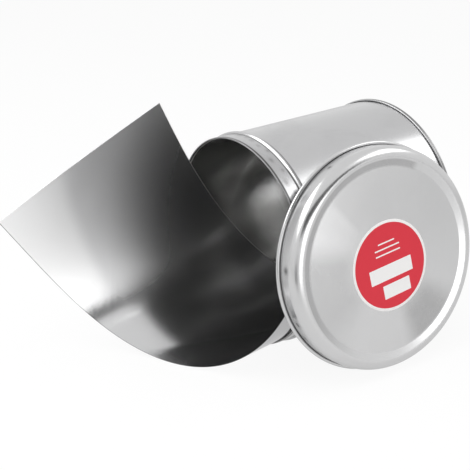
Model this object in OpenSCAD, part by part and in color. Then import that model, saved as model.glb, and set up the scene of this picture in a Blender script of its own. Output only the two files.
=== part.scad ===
// Shim stock roll. A tin can lies on its side with a coil of thin foil in it.
// The inner end of the foil is drawn out of the mouth as a slanting band, and the
// slip lid leans on the can's flank with its paper label facing out.
// The can's axis runs along Y with the mouth at the front, and Z = 0 is the floor.

/* [Foil] */
// width of the foil strip
strip_w = 150; // [110:5:200]
// thickness of the foil
foil_t = 0.1; // [0.05:0.05:0.2]
// length of the whole strip, coil and drawn-out end together
strip_len = 5000; // [3500:250:7000]
// share of the coil's wall that is metal, the rest being air between its turns
packing = 0.95; // [0.75:0.05:1]
// groups of turns that stand out as steps on the coil's ends
end_steps = 4; // [2:1:6]
// height of those steps
step_h = 0.35; // [0.2:0.05:0.5]

/* [Can] */
// outer radius of the can's wall
can_r = 86; // [75:1:100]
// thickness of the tinplate
tin_t = 0.3; // [0.2:0.05:0.4]
// distance of the coil's end from the mouth
coil_lead = 2.2; // [1.8:0.1:4]
// thickness of the edge rolled inward at the mouth
hem_d = 1.2; // [1:0.1:1.5]
// room between that rolled edge and the coil's end
hem_room = 0.5; // [0.3:0.1:0.8]
// distance from the mouth to the crest of the bead
bead_at = 15.4; // [13:0.2:19]
// width of the bead
bead_w = 4.6; // [3.6:0.2:6]
// height of the bead above the wall
bead_h = 1.7; // [1.2:0.1:2.2]
// depth of the base panel below the top of the seam
base_recess = 4; // [3.6:0.1:6]
// length of the seam that joins the base to the wall
seam_h = 3.2; // [2.8:0.1:3.4]
// distance between the folded layers of the seam
seam_pitch = 0.56; // [0.5:0.02:0.65]
// length of the wall's hook inside the seam
wall_hook = 1.6; // [1.2:0.1:1.7]
// length of the base's hook inside the seam
base_hook = 1.12; // [0.8:0.02:1.2]
// radius of the bends of the wall's hook
hook_bend = 0.5; // [0.3:0.05:0.55]
// radius of the bends at the top of the seam
seam_bend = 0.7; // [0.4:0.05:0.8]
// radius of the bend round the recessed base panel
recess_bend = 1; // [0.6:0.1:1.5]

/* [Lid] */
// radial room between the lid's skirt and the can's neck
lid_room = 0.5; // [0.3:0.1:1]
// diameter of the curl along the skirt's edge
curl_d = 3; // [2.4:0.1:3.6]
// radius of the shoulder between the skirt and the face
shoulder_r = 7.5; // [5:0.5:9]
// width of the sloping ring round the flat panel
ring_w = 4.54; // [2:0.01:8]
// slope of that ring, in degrees
ring_slope = 15; // [8:1:20]
// radius of the paper label
label_r = 36.3; // [28:0.1:42]
// thickness of the paper label
label_t = 0.12; // [0.1:0.02:0.2]
// distance of the label below the panel's centre
label_down = 4.6; // [0:0.2:10]
// distance of the label from the panel's centre toward the can's base
label_back = 1.8; // [-6:0.2:6]

/* [How it lies] */
// lean of the lid's face from upright, in degrees
lid_lean = 12.1; // [9:0.1:16]
// turn of the lid's face toward the can's mouth, in degrees
lid_turn = 4; // [2:0.5:6]
// distance from the can's mouth to the lid's centre
lid_along = 67; // [62:0.5:76]
// room left where pieces lie against each other
seat_gap = 0.3; // [0.2:0.05:0.5]
// slant of the drawn-out band against the mouth, in degrees
tail_lead = 28; // [26:0.5:30]
// room between the band's round stretch and the coil's bore
tail_slack = 8.36; // [7:0.02:10]
// shift of the band toward the lid
tail_shift = 5.07; // [0:0.01:5.1]
// angle round the mouth at which the band starts to straighten
tail_off = 225; // [218:1:232]
// length over which the band straightens
tail_ease = 193.5; // [180:0.5:203]
// reach of the band's inner corner before the mouth
tail_reach = 35.2; // [31:0.2:39]
// depth of the band's last corner behind the coil's end
tail_in = 13.2; // [10:0.2:18]
// length over which the band's inner end closes in on the coil
tail_join = 90; // [60:1:110]
// droop of the band below the can's axis, in degrees
tail_droop = 4.2; // [3:0.1:5]
// swing of the band away from the lid, in degrees
tail_swing = 1.1; // [0:0.1:2]

/* [Hidden] */
$fn = 144;

// can: middle of the wall, layers of the seam, height and the height of the axis
wall_r = can_r - tin_t / 2;
seam_r = wall_r + 3 * seam_pitch + tin_t / 2;
crest_r = can_r + bead_h;
axis_z = max(seam_r, crest_r);
can_h = coil_lead + strip_w + base_recess;
seam_top = can_h - tin_t / 2;
flange_top = seam_top - tin_t - seat_gap;
chuck_r = wall_r - seam_pitch;

// drawn-out band: its length follows from its slant and from how far it reaches
tail_len = (tail_reach + strip_w * cos(tail_lead) + coil_lead + tail_in) / sin(tail_lead);

// coil: the wall's thickness follows from the strip that is left in the can
coil_r = can_r - tin_t - seat_gap;
coil_area = (strip_len - tail_len) * foil_t / packing;
bore_r = sqrt(coil_r * coil_r - coil_area / PI);
coil_t = coil_r - bore_r;

// lid: middle of the skirt, curl, shoulder and panel, measured from the skirt's edge
skirt_r = can_r + lid_room + tin_t / 2;
roll_r = (curl_d - tin_t) / 2;
curl_r = skirt_r + roll_r;
shoulder_h = bead_at - bead_w / 2;
ring_r = skirt_r - shoulder_r - shoulder_r * sin(ring_slope);
ring_h = shoulder_h + shoulder_r * cos(ring_slope);
panel_r = ring_r - ring_w;
panel_h = ring_h - ring_w * tan(ring_slope);

// a turn from one direction to another about a centre, as points
function arc(c, r, from, to, n) = [for (i = [0:n]) c + r * dir(from + (to - from) * i / n)];
function dir(a) = [cos(a), sin(a)];
function unit(v) = v / norm(v);

// direction of a path at one of its points, halfway between its two neighbours
function along(path, i) =
  let (n = len(path) - 1)
  let (before = i > 0 ? unit(path[i] - path[i - 1]) : [0, 0])
  let (after = i < n ? unit(path[i + 1] - path[i]) : [0, 0])
  unit(before + after);

// outline of a sheet of thickness t whose middle follows a path
function sheet(path, t) =
  let (n = len(path) - 1)
  let (side = [for (i = [0:n]) let (d = along(path, i)) [-d.y, d.x] * t / 2])
  concat([for (i = [0:n]) path[i] + side[i]], [for (i = [n:-1:0]) path[i] - side[i]]);

// middle of the can's wall as [radius, distance from the mouth]: the rolled edge,
// the neck, the bead, the plain wall and the flange hooked into the base seam
hem_r = (hem_d - tin_t) / 2;
hook_r = wall_r + 2 * seam_pitch;
wall_path = concat(
  [[wall_r - 2 * hem_r, coil_lead - hem_room]],
  arc([wall_r - hem_r, hem_r + tin_t / 2], hem_r, 180, 360, 8),
  [for (u = [-1:1/6:1]) [wall_r + bead_h * (1 + cos(180 * u)) / 2, bead_at + u * bead_w / 2]],
  arc([wall_r + hook_bend, flange_top - hook_bend], hook_bend, 180, 90, 4),
  arc([hook_r - hook_bend, flange_top - hook_bend], hook_bend, 90, 0, 4),
  [[hook_r, flange_top - wall_hook]]
);

// middle of the base as [radius, distance from the mouth]: the panel, the wall of
// its recess, the flat top of the seam and the hook tucked under the flange
base_in = coil_lead + strip_w + tin_t / 2;
leg_r = wall_r + 3 * seam_pitch;
tuck_y = can_h - seam_h + seam_pitch / 2 + tin_t / 2;
base_path = concat(
  [[0, base_in]],
  arc([chuck_r - recess_bend, base_in + recess_bend], recess_bend, 270, 360, 5),
  arc([chuck_r + seam_bend, seam_top - seam_bend], seam_bend, 180, 90, 5),
  arc([leg_r - seam_bend, seam_top - seam_bend], seam_bend, 90, 0, 5),
  arc([leg_r - seam_pitch, tuck_y], seam_pitch, 360, 180, 8),
  [[wall_r + seam_pitch, tuck_y + base_hook]]
);

// middle of the lid as [radius, height above the skirt's edge]: the panel, the
// sloping ring, the shoulder, the skirt and the curl rolled outward
lid_path = concat(
  [[0, panel_h], [panel_r, panel_h]],
  arc([skirt_r - shoulder_r, shoulder_h], shoulder_r, 90 + ring_slope, 0, 14),
  arc([curl_r, roll_r + tin_t / 2], roll_r, 180, 430, 18)
);

// outline of the coil's wall, its turns stepping in and out at both ends
step_w = coil_t / end_steps;
coil_path = concat(
  [for (i = [0:end_steps - 1]) each
    let (y = coil_lead + (i % 2) * step_h)
    [[bore_r + i * step_w, y], [bore_r + (i + 1) * step_w, y]]],
  [for (i = [end_steps - 1:-1:0]) each
    let (y = coil_lead + strip_w - ((i + 1) % 2) * step_h)
    [[bore_r + (i + 1) * step_w, y], [bore_r + i * step_w, y]]]
);

// drawn-out band: a flat strip wound at a slant on a cylinder that opens out into a
// straightening curve. s runs round that cylinder from the free end's inner corner
band_r = bore_r - tail_slack;
join_from = tail_len - tail_join;
join_sink = 0.6;
join_r = bore_r + join_sink * coil_t;

// heading of the curve, its curvature growing evenly along the straightening length
function heading(s) = s > tail_ease
  ? tail_off - 270 + (s - tail_ease) / band_r * 180 / PI
  : tail_off - 270 - (tail_ease * tail_ease - s * s) / (2 * tail_ease * band_r) * 180 / PI;

ease_n = 60;
ease_d = tail_ease / ease_n;
ease_pts = [
  for (i = 0, p = band_r * dir(tail_off); i <= ease_n;
       p = p - ease_d * dir(heading(tail_ease - (i + 0.5) * ease_d)), i = i + 1) p
];

// point of the curve at s, about the centre of its round stretch
function bend(s) = s >= tail_ease
  ? band_r * dir(tail_off + (s - tail_ease) / band_r * 180 / PI)
  : let (k = min((tail_ease - s) / ease_d, ease_n - 0.001))
    let (i = floor(k))
    ease_pts[i] + (ease_pts[i + 1] - ease_pts[i]) * (k - i);

// the band's cylinder drooped and swung about the centre of the mouth
function droop(p) =
  let (y = p.y * cos(tail_droop) - p.z * sin(tail_droop))
  let (z = p.y * sin(tail_droop) + p.z * cos(tail_droop))
  [p.x * cos(tail_swing) - y * sin(tail_swing), p.x * sin(tail_swing) + y * cos(tail_swing), z];

// point of the band at l along it from the free end and b across it from its inner edge,
// raised by out along the curve's outward side
function loose(l, b, out) =
  let (s = l * cos(tail_lead) + b * sin(tail_lead))
  let (h = tail_reach - l * sin(tail_lead) + b * cos(tail_lead))
  let (q = bend(s) + out * dir(heading(s) - 90))
  droop([q.x + tail_shift, -h, q.y]);

band_n = 12;
band_d = strip_w / band_n;
tail_n = ceil(tail_len / (band_d * tan(tail_lead)));
tail_d = tail_len / tail_n;
tail_low = min([for (i = [0:tail_n], j = [0:band_n]) loose(i * tail_d, j * band_d, foil_t).z]);
tail_lift = seat_gap - axis_z - tail_low;

// the same point resting on the floor, and led into the coil's wall at its far end
function band(l, b, out) =
  let (p = loose(l, b, 0) + [0, 0, tail_lift])
  let (r = norm([p.x, p.z]))
  let (w = l < join_from ? 0 : pow((l - join_from) / (tail_len - join_from), 2))
  let (k = 1 + (join_r / r - 1) * w)
  [p.x * k, p.y, p.z * k] + loose(l, b, out) - loose(l, b, 0);

// lid: its axis, the height of its curl's centre, and the way its rim runs
lid_up = [cos(lid_lean) * cos(lid_turn), -cos(lid_lean) * sin(lid_turn), sin(lid_lean)];
rim_a = [sin(lid_lean) * cos(lid_turn), -sin(lid_lean) * sin(lid_turn), -cos(lid_lean)];
rim_b = [sin(lid_turn), cos(lid_turn), 0];
lid_z = curl_r * cos(lid_lean) + curl_d / 2 - axis_z;

// distance from a point to the outside of the can, taken as solid
function out_of(r, y, edge, from, to) = norm([max(r - edge, 0), max(from - y, y - to, 0)]);
function can_gap(p) =
  let (r = norm([p.x, p.z]))
  min(out_of(r, p.y, can_r, 0, can_h),
      out_of(r, p.y, seam_r, can_h - seam_h, can_h),
      norm([max(r - can_r, 0), p.y - bead_at]) - bead_h);

// distance between the can and the lid's curl when the lid's centre is at x
rim_pts = [for (t = [0:1.5:358.5]) curl_r * (cos(t) * rim_a + sin(t) * rim_b)];
function rim_gap(x) = min([for (p = rim_pts) can_gap(p + [x, lid_along, lid_z])]) - curl_d / 2;

// the lid slides toward the can until its curl lies against it
function slide(low, high, n) =
  let (mid = (low + high) / 2)
  n == 0 ? high : rim_gap(mid) < seat_gap ? slide(mid, high, n - 1) : slide(low, mid, n - 1);
lid_x = slide(0.8 * can_r, 1.4 * can_r, 20);
lid_at = [lid_x, lid_along, lid_z];

// reach of the lid along one direction of the frame
function lid_reach(way) =
  let (u = lid_up * way)
  max([for (p = sheet(lid_path, tin_t)) u * (p.y - curl_d / 2) + abs(p.x) * sqrt(1 - u * u)]);

// middle of the whole object on the floor
tail_all = [for (i = [0:tail_n], j = [0:band_n], o = [0, foil_t]) band(i * tail_d, j * band_d, o)];
x_low = min(-axis_z, min([for (p = tail_all) p.x]));
x_high = max(axis_z, lid_x + lid_reach([1, 0, 0]));
y_low = min([for (p = tail_all) p.y]);
y_high = max(can_h, lid_along + lid_reach([0, 1, 0]));
middle = [(x_low + x_high) / 2, (y_low + y_high) / 2, -axis_z];

// a shape in the can's own frame put into the object's frame
module placed() {
  translate(-middle) children();
}

// a profile of [radius, distance from the mouth] turned about the can's axis
module turned(profile) {
  rotate([-90, 0, 0]) rotate_extrude() polygon(profile);
}

module can_body() {
  color("silver") placed() turned(sheet(wall_path, tin_t));
}

module can_base() {
  color("silver") placed() turned(sheet(base_path, tin_t));
}

// the drawn-out band as a closed sheet, each facet's long side along a straight line of it
module drawn_out() {
  row = band_n + 1;
  top = (tail_n + 1) * row;
  points = [for (o = [0, foil_t], i = [0:tail_n], j = [0:band_n]) band(i * tail_d, j * band_d, o)];
  inner = [for (i = [0:tail_n - 1], j = [0:band_n - 1]) each
    let (a = i * row + j)
    [[a, a + row, a + 1], [a + 1, a + row, a + row + 1]]];
  outer = [for (f = inner) [f[2] + top, f[1] + top, f[0] + top]];
  ends = [for (j = [0:band_n - 1]) each
    let (a = tail_n * row + j)
    [[j, j + 1, j + top], [j + 1, j + 1 + top, j + top], [a, a + top, a + 1], [a + 1, a + top, a + 1 + top]]];
  edges = [for (i = [0:tail_n - 1]) each
    let (a = i * row, c = i * row + band_n)
    [[a, a + top, a + row], [a + row, a + top, a + row + top],
     [c, c + row, c + top], [c + row, c + row + top, c + top]]];
  polyhedron(points, concat(inner, outer, ends, edges));
}

module shim_strip() {
  color("gainsboro") placed() union() {
    turned(coil_path);
    drawn_out();
  }
}

// a shape in the lid's frame, Z out of its face, put where the lid leans
module leaning() {
  placed() translate(lid_at) rotate([0, 90 - lid_lean, -lid_turn]) translate([0, 0, -curl_d / 2]) children();
}

module lid() {
  color("silver") leaning() rotate_extrude() polygon(sheet(lid_path, tin_t));
}

module lid_label() {
  color("crimson") leaning() translate([label_down, label_back, panel_h + tin_t / 2])
    cylinder(r = label_r, h = label_t);
}

can_body();
can_base();
shim_strip();
lid();
lid_label();
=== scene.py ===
"""Looks of a shim stock roll: tin can, coiled foil with its end drawn out, slip lid and label."""

import logging
import math
from dataclasses import dataclass
from enum import Enum

import bpy
import numpy as np
from mathutils import Matrix, Vector


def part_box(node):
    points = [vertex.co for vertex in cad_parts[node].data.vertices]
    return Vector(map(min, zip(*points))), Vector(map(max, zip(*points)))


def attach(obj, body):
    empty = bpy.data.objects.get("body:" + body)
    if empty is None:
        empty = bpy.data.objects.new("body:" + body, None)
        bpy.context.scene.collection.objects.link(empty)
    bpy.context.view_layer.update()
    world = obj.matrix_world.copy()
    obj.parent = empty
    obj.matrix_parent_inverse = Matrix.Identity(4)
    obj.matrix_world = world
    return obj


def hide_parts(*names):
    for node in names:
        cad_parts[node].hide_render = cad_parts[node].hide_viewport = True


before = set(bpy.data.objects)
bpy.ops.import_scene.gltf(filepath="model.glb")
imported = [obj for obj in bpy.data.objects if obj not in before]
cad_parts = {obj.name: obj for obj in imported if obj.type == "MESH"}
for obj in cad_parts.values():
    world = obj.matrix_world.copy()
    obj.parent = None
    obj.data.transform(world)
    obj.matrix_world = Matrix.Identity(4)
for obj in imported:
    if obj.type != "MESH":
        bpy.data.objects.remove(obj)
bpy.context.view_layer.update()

MM = 0.001
IMAGE_PX = 470
# A turned sheet's U is its angle times this radius in millimetres.
UV_RADIUS = 80.0
# Half the width, in millimetres, over which an edge of the print fades.
PRINT_EDGE = 0.04
LOG = logging.getLogger("shim_stock_roll")

Pair = tuple[float, float]
Colour = tuple[float, float, float]
Point = tuple[float, float, float]
Turned = tuple[np.ndarray, np.ndarray, list[np.ndarray], np.ndarray]
Surface = tuple[np.ndarray, np.ndarray, np.ndarray]


class Slot(Enum):
    """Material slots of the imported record."""

    CAN = "can_tin"
    LID = "lid_tin"
    FOIL = "foil"
    LABEL = "label"


# Arrays


def arc(centre: Pair, radius: float, start: float, end: float, count: int) -> np.ndarray:
    """Points of a circular arc, centre + radius * (cos a, sin a) for evenly spaced angles.

    Args:
        centre: centre of the arc.
        radius: its radius.
        start: first angle in degrees.
        end: last angle in degrees.
        count: number of points.

    Returns:
        Array of shape (count, 2).
    """
    angle = np.radians(np.linspace(start, end, count))
    return np.stack([centre[0] + radius * np.cos(angle), centre[1] + radius * np.sin(angle)], -1)


def line(start: Pair, end: Pair, count: int) -> np.ndarray:
    """Points of a straight line without its two ends."""
    share = np.linspace(0.0, 1.0, count + 2)[1:-1, None]
    return np.array(start) * (1 - share) + np.array(end) * share


def sheet_outline(path: np.ndarray, thickness: float) -> np.ndarray:
    """Outline of a sheet whose middle follows a path.

    Each point moves half the thickness along the normal that halves the angle between its two
    neighbouring segments, first down one side of the path and then back up the other.

    Args:
        path: middle line, shape (n, 2).
        thickness: thickness of the sheet.

    Returns:
        Outline of shape (2 n, 2).
    """
    step = np.diff(path, axis=0)
    step /= np.linalg.norm(step, axis=1, keepdims=True)
    before = np.vstack([step[:1], step])
    after = np.vstack([step, step[-1:]])
    way = before + after
    way /= np.linalg.norm(way, axis=1, keepdims=True)
    side = np.stack([-way[:, 1], way[:, 0]], -1) * thickness / 2
    return np.vstack([path + side, (path - side)[::-1]])


def grid_faces(rows: int, columns: int, wrap_rows: bool, wrap_columns: bool) -> np.ndarray:
    """Quads of a grid of rows by columns vertices, each wrapping round where asked.

    Args:
        rows: vertices along the first direction.
        columns: vertices along the second direction.
        wrap_rows: whether the last row joins the first.
        wrap_columns: whether the last column joins the first.

    Returns:
        Vertex numbers of shape (faces, 4).
    """
    r = np.arange(rows if wrap_rows else rows - 1)[:, None]
    c = np.arange(columns if wrap_columns else columns - 1)[None, :]
    r1, c1 = (r + 1) % rows, (c + 1) % columns
    corners = (r * columns + c, r * columns + c1, r1 * columns + c1, r1 * columns + c)
    return np.stack(np.broadcast_arrays(*corners), -1).reshape(-1, 4)


def mesh_piece(name: str, points: np.ndarray, faces: list[np.ndarray], uv: np.ndarray) -> bpy.types.Object:
    """Makes a mesh object at the origin from whole arrays.

    Args:
        name: name of the piece.
        points: vertices in metres in the row frame, shape (n, 3).
        faces: arrays of quads or triangles.
        uv: a pair for each vertex.

    Returns:
        The new object, shaded smooth.
    """
    mesh = bpy.data.meshes.new(name)
    listed = [face for block in faces for face in block.tolist()]
    mesh.from_pydata(points.tolist(), [], listed)
    mesh.shade_smooth()
    layer = mesh.uv_layers.new(name="surface")
    corner = np.zeros(len(mesh.loops), np.int32)
    mesh.loops.foreach_get("vertex_index", corner)
    layer.data.foreach_set("uv", uv[corner].astype(np.float32).ravel())
    mesh.update()
    piece = bpy.data.objects.new(name, mesh)
    bpy.context.scene.collection.objects.link(piece)
    return piece


def set_grime_and_shade(piece: bpy.types.Object, values: np.ndarray) -> None:
    """Keeps a value of grime and painted shade, between 0 and 1, for each vertex as the piece's own
    attribute.
    """
    layer = piece.data.attributes.new("grime_and_shade", "FLOAT", "POINT")
    layer.data.foreach_set("value", np.clip(values, 0, 1).astype(np.float32))


def soft_step(values: np.ndarray, low: float, high: float) -> np.ndarray:
    """Smooth step from 0 at low to 1 at high, t * t * (3 - 2 t) of the share t between them."""
    t = np.clip((values - low) / (high - low), 0, 1)
    return t * t * (3 - 2 * t)


def bell(values: np.ndarray, centre: float, width: float) -> np.ndarray:
    """Bell curve exp(-d * d) of the distance d from a centre, counted in widths."""
    return np.exp(-(((values - centre) / width) ** 2))


def patch(across: np.ndarray, along: np.ndarray, wide: float, high: float) -> np.ndarray:
    """Bell-shaped patch, exp(-(x * x + y * y)) of the distances x and y counted in its two sizes."""
    return np.exp(-((across / wide) ** 2 + (along / high) ** 2))


def turn_from(angle: np.ndarray, where: float) -> np.ndarray:
    """Angles from a direction in degrees, in radians between -pi and pi."""
    return (angle - math.radians(where) + np.pi) % (2 * np.pi) - np.pi


def sector(turn: np.ndarray, opens: Pair, closes: Pair) -> np.ndarray:
    """Mask of a sector: a soft step up over one pair of angles, times one down over the other."""
    return soft_step(turn, *opens) * soft_step(-turn, -closes[1], -closes[0])


def mark_sharp(piece: bpy.types.Object, angle: float) -> None:
    """Marks the edges between faces that meet at more than an angle in degrees as sharp."""
    piece.data.set_sharp_from_angle(angle=math.radians(angle))


def finish_piece(piece: bpy.types.Object, material: bpy.types.Material, slot: Slot, *nodes: str) -> None:
    """Dresses a piece, sets it on the root body and says which solids it stands for.

    Args:
        piece: the piece.
        material: its finish.
        slot: the record's slot for that finish; not used.
        nodes: names of the solids.
    """
    piece.data.materials.append(material)
    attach(piece, "root")
    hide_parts(*nodes)
    LOG.info("%s: %d faces for %s", piece.name, len(piece.data.polygons), ", ".join(nodes))


def revolve(outline: np.ndarray, segments: int) -> Turned:
    """Turns an outline of (radius, height) about the height axis.

    A vertex at angle a is (radius cos a, radius sin a, height). An outline that starts and ends on
    the axis closes in two poles, any other outline closes on itself.

    Args:
        outline: shape (n, 2), run so that the solid is on its right.
        segments: steps round the axis.

    Returns:
        Points (m, 3), the angle of each point, faces and a UV pair (arc length, outline length).
    """
    poles = abs(outline[0, 0]) < 1e-9 and abs(outline[-1, 0]) < 1e-9
    ring = outline[1:-1] if poles else outline
    angle = np.linspace(0, 2 * np.pi, segments, endpoint=False)
    a, r = np.meshgrid(angle, ring[:, 0], indexing="ij")
    h = np.broadcast_to(ring[:, 1], a.shape)
    points = np.stack([r * np.cos(a), r * np.sin(a), h], -1).reshape(-1, 3)
    run = np.concatenate([[0], np.cumsum(np.linalg.norm(np.diff(outline, axis=0), axis=1))])
    run = run[1:-1] if poles else run
    uv = np.stack([a * UV_RADIUS, np.broadcast_to(run, a.shape)], -1).reshape(-1, 2)
    angles = a.reshape(-1)
    faces = [grid_faces(segments, len(ring), True, not poles)]
    if poles:
        first, last = len(points), len(points) + 1
        ends = np.array([[0, 0, outline[0, 1]], [0, 0, outline[-1, 1]]])
        points = np.vstack([points, ends])
        angles = np.append(angles, [0, 0])
        uv = np.vstack([uv, [[0, 0], [0, run[-1]]]])
        here = np.arange(segments) * len(ring)
        there = np.roll(here, -1)
        faces.append(np.stack([np.full(segments, first), here, there], -1))
        tail = len(ring) - 1
        faces.append(np.stack([np.full(segments, last), there + tail, here + tail], -1))
    return points, angles, faces, uv


@dataclass
class Datum:
    """Where the can lies: its axis runs along Y through (x, z) and its mouth is at y."""

    x: float
    y: float
    z: float

    @classmethod
    def from_frame(cls) -> "Datum":
        """Reads the can's axis and mouth from the solid of its wall."""
        low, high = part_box("can_body")
        return cls((low.x + high.x) / 2, low.y, (low.z + high.z) / 2)

    def row(self, points: np.ndarray) -> np.ndarray:
        """Points of the can's own frame in millimetres, put into the row frame in metres."""
        return points * MM + np.array([self.x, self.y, self.z])


# Shader graphs


class Graph:
    """A node tree with short ways to add and join nodes."""

    def __init__(self, tree: bpy.types.NodeTree) -> None:
        """Keeps the tree."""
        self.tree = tree

    def feed(self, node: bpy.types.Node, values: dict) -> None:
        """Sets or joins a node's inputs.

        Args:
            node: the node.
            values: socket name or number to a constant or to an output socket.
        """
        for key, value in values.items():
            if isinstance(value, bpy.types.NodeSocket):
                self.tree.links.new(value, node.inputs[key])
            else:
                node.inputs[key].default_value = value

    def add(self, kind: str, values: dict | None = None, **settings: object) -> bpy.types.Node:
        """Adds a node.

        Args:
            kind: the node's type without the ShaderNode prefix.
            values: socket name or number to a constant or to an output socket.
            settings: attributes of the node.

        Returns:
            The node.
        """
        node = self.tree.nodes.new("ShaderNode" + kind)
        for key, value in settings.items():
            setattr(node, key, value)
        self.feed(node, values or {})
        return node

    def math(
        self, operation: str, first: object, second: object = 0.0, third: object = 0.0
    ) -> bpy.types.NodeSocket:
        """Adds a Math node and returns its output."""
        return self.add("Math", {0: first, 1: second, 2: third}, operation=operation).outputs[0]

    def length(self, x: bpy.types.NodeSocket, y: bpy.types.NodeSocket) -> bpy.types.NodeSocket:
        """Square root of x * x + y * y."""
        return self.math("SQRT", self.math("ADD", self.math("MULTIPLY", x, x), self.math("MULTIPLY", y, y)))

    def ramp(
        self, value: bpy.types.NodeSocket, low: float, high: float, out_low: float, out_high: float
    ) -> bpy.types.NodeSocket:
        """Maps a value smoothly from one range to another and returns the output."""
        values = {"Value": value, "From Min": low, "From Max": high, "To Min": out_low, "To Max": out_high}
        return self.add("MapRange", values, interpolation_type="SMOOTHSTEP").outputs[0]

    def mix(self, share: object, first: object, second: object) -> bpy.types.NodeSocket:
        """Mixes two colours by a share and returns the output."""
        return self.add("Mix", {0: share, 6: first, 7: second}, data_type="RGBA").outputs[2]


def fresh_graph(owner: bpy.types.Material | bpy.types.World) -> Graph:
    """Turns on the nodes of a material or world and clears them.

    Args:
        owner: the material or world.

    Returns:
        The graph of its nodes.
    """
    owner.use_nodes = True
    owner.node_tree.nodes.clear()
    return Graph(owner.node_tree)


class Effect:
    """A shader node group that puts out one value, built once and shared."""

    def __init__(self, name: str, inputs: dict[str, object], output: str) -> None:
        """Makes the group's sockets.

        Args:
            name: name of the group.
            inputs: socket name to default; a tuple makes a vector socket.
            output: name of the value output.
        """
        self.tree = bpy.data.node_groups.new(name, "ShaderNodeTree")
        self.graph = Graph(self.tree)
        for key, value in inputs.items():
            kind = "NodeSocketVector" if isinstance(value, tuple) else "NodeSocketFloat"
            socket = self.tree.interface.new_socket(key, in_out="INPUT", socket_type=kind)
            socket.default_value = value
        self.tree.interface.new_socket(output, in_out="OUTPUT", socket_type="NodeSocketFloat")
        self.source = self.tree.nodes.new("NodeGroupInput").outputs
        self.target = self.tree.nodes.new("NodeGroupOutput").inputs

    def give(self, value: bpy.types.NodeSocket) -> None:
        """Joins a value to the group's output."""
        self.tree.links.new(value, self.target[0])

    def place(self, graph: Graph, **values: object) -> bpy.types.NodeSocket:
        """Places the group in a material with its own values and returns its output."""
        return graph.add("Group", values, node_tree=self.tree).outputs[0]


def rolled_lines() -> Effect:
    """Fine lines of rolled metal: noise stretched along the first axis of the vector.

    Returns:
        The group.
    """
    inputs = {"Vector": (0.0, 0.0, 0.0), "Along": 0.02, "Across": 6.0}
    effect = Effect("rolled_lines", inputs, "Line")
    g, inp = effect.graph, effect.source
    split = g.add("SeparateXYZ", {0: inp["Vector"]})
    along = g.math("MULTIPLY", split.outputs[0], inp["Along"])
    across = g.math("MULTIPLY", split.outputs[1], inp["Across"])
    fine = g.add("CombineXYZ", {0: along, 1: across}).outputs[0]
    noise = g.add("TexNoise", {"Vector": fine, "Scale": 1.0, "Detail": 3.0, "Roughness": 0.6})
    effect.give(noise.outputs[0])
    return effect


def handling_marks() -> Effect:
    """Smudges of a handled surface: noise bent by itself, cut into soft patches.

    Returns:
        The group.
    """
    effect = Effect("handling_marks", {"Vector": (0.0, 0.0, 0.0), "Smudge Scale": 30.0}, "Smudge")
    g, inp = effect.graph, effect.source
    bent = {"Detail": 5.0, "Roughness": 0.62, "Distortion": 0.8}
    noise = g.add("TexNoise", {"Vector": inp["Vector"], "Scale": inp["Smudge Scale"], **bent})
    effect.give(g.ramp(noise.outputs[0], 0.42, 0.68, 0.0, 1.0))
    return effect


def soft_field() -> Effect:
    """Mask of a rectangle with rounded corners, 1 inside and 0 outside.

    The distance is the length of what lies past the corner's centre, less the corner's radius.

    Returns:
        The group.
    """
    inputs = {"Vector": (0.0, 0.0, 0.0), "Centre X": 0.0, "Centre Y": 0.0, "Half Width": 1.0,
              "Half Height": 1.0, "Corner": 0.1}
    effect = Effect("soft_field", inputs, "Mask")
    g, inp = effect.graph, effect.source
    split = g.add("SeparateXYZ", {0: inp["Vector"]})
    past = []
    for axis, centre, half in ((0, "Centre X", "Half Width"), (1, "Centre Y", "Half Height")):
        off = g.math("ABSOLUTE", g.math("SUBTRACT", split.outputs[axis], inp[centre]))
        flat = g.math("SUBTRACT", inp[half], inp["Corner"])
        past.append(g.math("MAXIMUM", g.math("SUBTRACT", off, flat), 0.0))
    out = g.math("SUBTRACT", g.length(*past), inp["Corner"])
    effect.give(g.ramp(out, -PRINT_EDGE, PRINT_EDGE, 1.0, 0.0))
    return effect


def round_line() -> Effect:
    """Mask of a ring of given radius and width about the middle.

    Returns:
        The group.
    """
    effect = Effect("round_line", {"Vector": (0.0, 0.0, 0.0), "Radius": 1.0, "Half Width": 0.1}, "Mask")
    g, inp = effect.graph, effect.source
    split = g.add("SeparateXYZ", {0: inp["Vector"]})
    off = g.math("SUBTRACT", g.length(split.outputs[0], split.outputs[1]), inp["Radius"])
    out = g.math("SUBTRACT", g.math("ABSOLUTE", off), inp["Half Width"])
    effect.give(g.ramp(out, -PRINT_EDGE, PRINT_EDGE, 1.0, 0.0))
    return effect


@dataclass
class Effects:
    """The shared shader groups."""

    lines: Effect
    marks: Effect
    fields: Effect
    rings: Effect

    @classmethod
    def build(cls) -> "Effects":
        """Builds each group once."""
        return cls(rolled_lines(), handling_marks(), soft_field(), round_line())


def principled(name: str) -> tuple[bpy.types.Material, Graph, bpy.types.Node]:
    """Makes a material with one Principled BSDF.

    Args:
        name: name of the material.

    Returns:
        The material, its graph and the shader node.
    """
    material = bpy.data.materials.new(name)
    graph = fresh_graph(material)
    shader = graph.add("BsdfPrincipled")
    graph.add("OutputMaterial", {0: shader.outputs[0]})
    return material, graph, shader


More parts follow.
